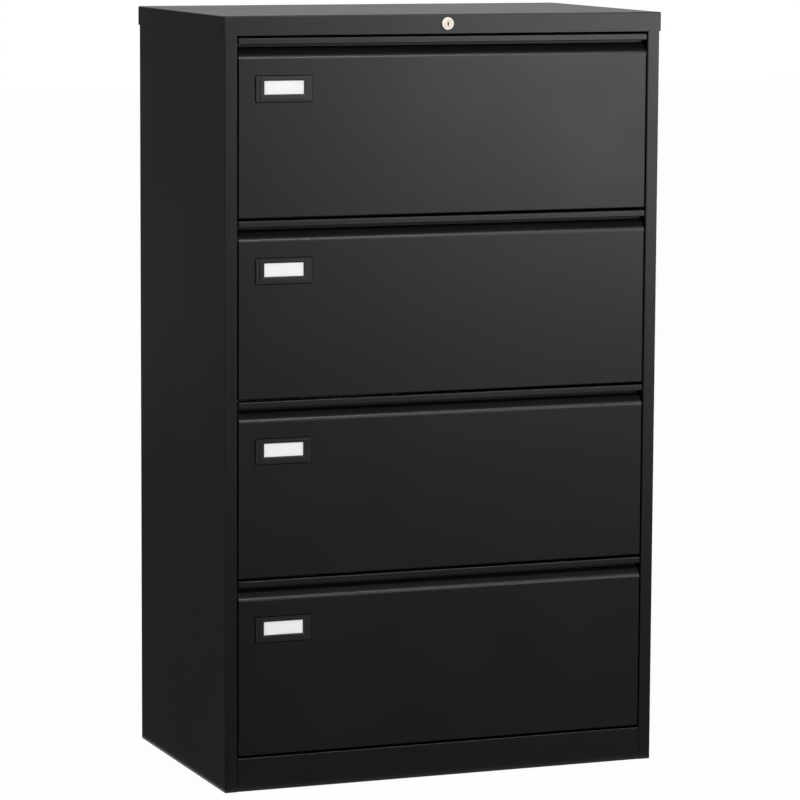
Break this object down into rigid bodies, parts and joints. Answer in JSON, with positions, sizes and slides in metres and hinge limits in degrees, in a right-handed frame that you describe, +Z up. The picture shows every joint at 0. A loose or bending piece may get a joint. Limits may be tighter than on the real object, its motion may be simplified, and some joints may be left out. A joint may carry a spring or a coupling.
{
  "type": "lateral filing cabinet",
  "caption": "Upright steel lateral filing cabinet with wide pull-out drawers, sloped finger pulls, label holders, a lipped top cover and a front lock.",
  "frame": {"origin": "middle of the overall box, on the floor", "axes": "+X to the right of a person facing the drawers, +Y to the cabinet's back (drawers open towards -Y), +Z up"},
  "size_m": [0.8, 0.474, 1.321],
  "materials": {
    "black_powder_coat": "fine-textured satin powder coat",
    "zinc_steel": "bright zinc plated steel",
    "nickel": "satin nickel plate",
    "black_plastic": "moulded satin plastic",
    "white_card": "plain uncoated card"
  },
  "bodies": {
    "carcass": {"side_panel_left": "black_powder_coat", "side_panel_right": "black_powder_coat", "back_panel": "black_powder_coat", "top_cover": "black_powder_coat", "front_top_rail": "black_powder_coat", "base_pan": "black_powder_coat", "plinth": "black_powder_coat", "lock_barrel": "nickel", "lock_bar_guide": "black_powder_coat", "slide_outer_left_1": "zinc_steel", "slide_outer_right_1": "zinc_steel", "slide_outer_left_2": "zinc_steel", "slide_outer_right_2": "zinc_steel", "slide_outer_left_3": "zinc_steel", "slide_outer_right_3": "zinc_steel", "slide_outer_left_4": "zinc_steel", "slide_outer_right_4": "zinc_steel"},
    "lock": {"lock_plug": "nickel", "lock_rod": "zinc_steel"},
    "locking_bar": {"locking_bar": "black_powder_coat"},
    "drawer_1": {"drawer_front_1": "black_powder_coat", "tray_1": "black_powder_coat", "file_rail_front_1": "zinc_steel", "file_rail_rear_1": "zinc_steel", "label_holder_1": "black_plastic", "label_card_1": "white_card", "slide_inner_left_1": "zinc_steel", "slide_inner_right_1": "zinc_steel"},
    "slide_middles_1": {"slide_middle_left_1": "zinc_steel", "slide_middle_right_1": "zinc_steel"},
    "drawer_2": {"drawer_front_2": "black_powder_coat", "tray_2": "black_powder_coat", "file_rail_front_2": "zinc_steel", "file_rail_rear_2": "zinc_steel", "label_holder_2": "black_plastic", "label_card_2": "white_card", "slide_inner_left_2": "zinc_steel", "slide_inner_right_2": "zinc_steel"},
    "slide_middles_2": {"slide_middle_left_2": "zinc_steel", "slide_middle_right_2": "zinc_steel"},
    "drawer_3": {"drawer_front_3": "black_powder_coat", "tray_3": "black_powder_coat", "file_rail_front_3": "zinc_steel", "file_rail_rear_3": "zinc_steel", "label_holder_3": "black_plastic", "label_card_3": "white_card", "slide_inner_left_3": "zinc_steel", "slide_inner_right_3": "zinc_steel"},
    "slide_middles_3": {"slide_middle_left_3": "zinc_steel", "slide_middle_right_3": "zinc_steel"},
    "drawer_4": {"drawer_front_4": "black_powder_coat", "tray_4": "black_powder_coat", "file_rail_front_4": "zinc_steel", "file_rail_rear_4": "zinc_steel", "label_holder_4": "black_plastic", "label_card_4": "white_card", "slide_inner_left_4": "zinc_steel", "slide_inner_right_4": "zinc_steel"},
    "slide_middles_4": {"slide_middle_left_4": "zinc_steel", "slide_middle_right_4": "zinc_steel"}
  },
  "joints": [
    {"name": "drawer_1_slide", "type": "slide", "parent": "carcass", "child": "drawer_1", "axis": [0, -1, 0], "range_m": [0, 0.4]},
    {"name": "slide_middles_1_slide", "type": "slide", "parent": "carcass", "child": "slide_middles_1", "axis": [0, -1, 0], "range_m": [0, 0.2]},
    {"name": "drawer_2_slide", "type": "slide", "parent": "carcass", "child": "drawer_2", "axis": [0, -1, 0], "range_m": [0, 0.4]},
    {"name": "slide_middles_2_slide", "type": "slide", "parent": "carcass", "child": "slide_middles_2", "axis": [0, -1, 0], "range_m": [0, 0.2]},
    {"name": "drawer_3_slide", "type": "slide", "parent": "carcass", "child": "drawer_3", "axis": [0, -1, 0], "range_m": [0, 0.4]},
    {"name": "slide_middles_3_slide", "type": "slide", "parent": "carcass", "child": "slide_middles_3", "axis": [0, -1, 0], "range_m": [0, 0.2]},
    {"name": "drawer_4_slide", "type": "slide", "parent": "carcass", "child": "drawer_4", "axis": [0, -1, 0], "range_m": [0, 0.4]},
    {"name": "slide_middles_4_slide", "type": "slide", "parent": "carcass", "child": "slide_middles_4", "axis": [0, -1, 0], "range_m": [0, 0.2]},
    {"name": "locking_bar_lift", "type": "slide", "parent": "carcass", "child": "locking_bar", "axis": [0, 0, 1], "range_m": [0, 0.01131]},
    {"name": "lock_turn", "type": "hinge", "parent": "carcass", "child": "lock", "pos_m": [0, -0.233, 1.3045], "axis": [0, 1, 0], "range_deg": [0, 90]}
  ],
  "couplings": [
    {"joint": "slide_middles_1_slide", "follows": "drawer_1_slide", "ratio": 0.5},
    {"joint": "slide_middles_2_slide", "follows": "drawer_2_slide", "ratio": 0.5},
    {"joint": "slide_middles_3_slide", "follows": "drawer_3_slide", "ratio": 0.5},
    {"joint": "slide_middles_4_slide", "follows": "drawer_4_slide", "ratio": 0.5},
    {"joint": "lock_turn", "follows": "locking_bar_lift", "rad_per_m": 138.84}
  ]
}
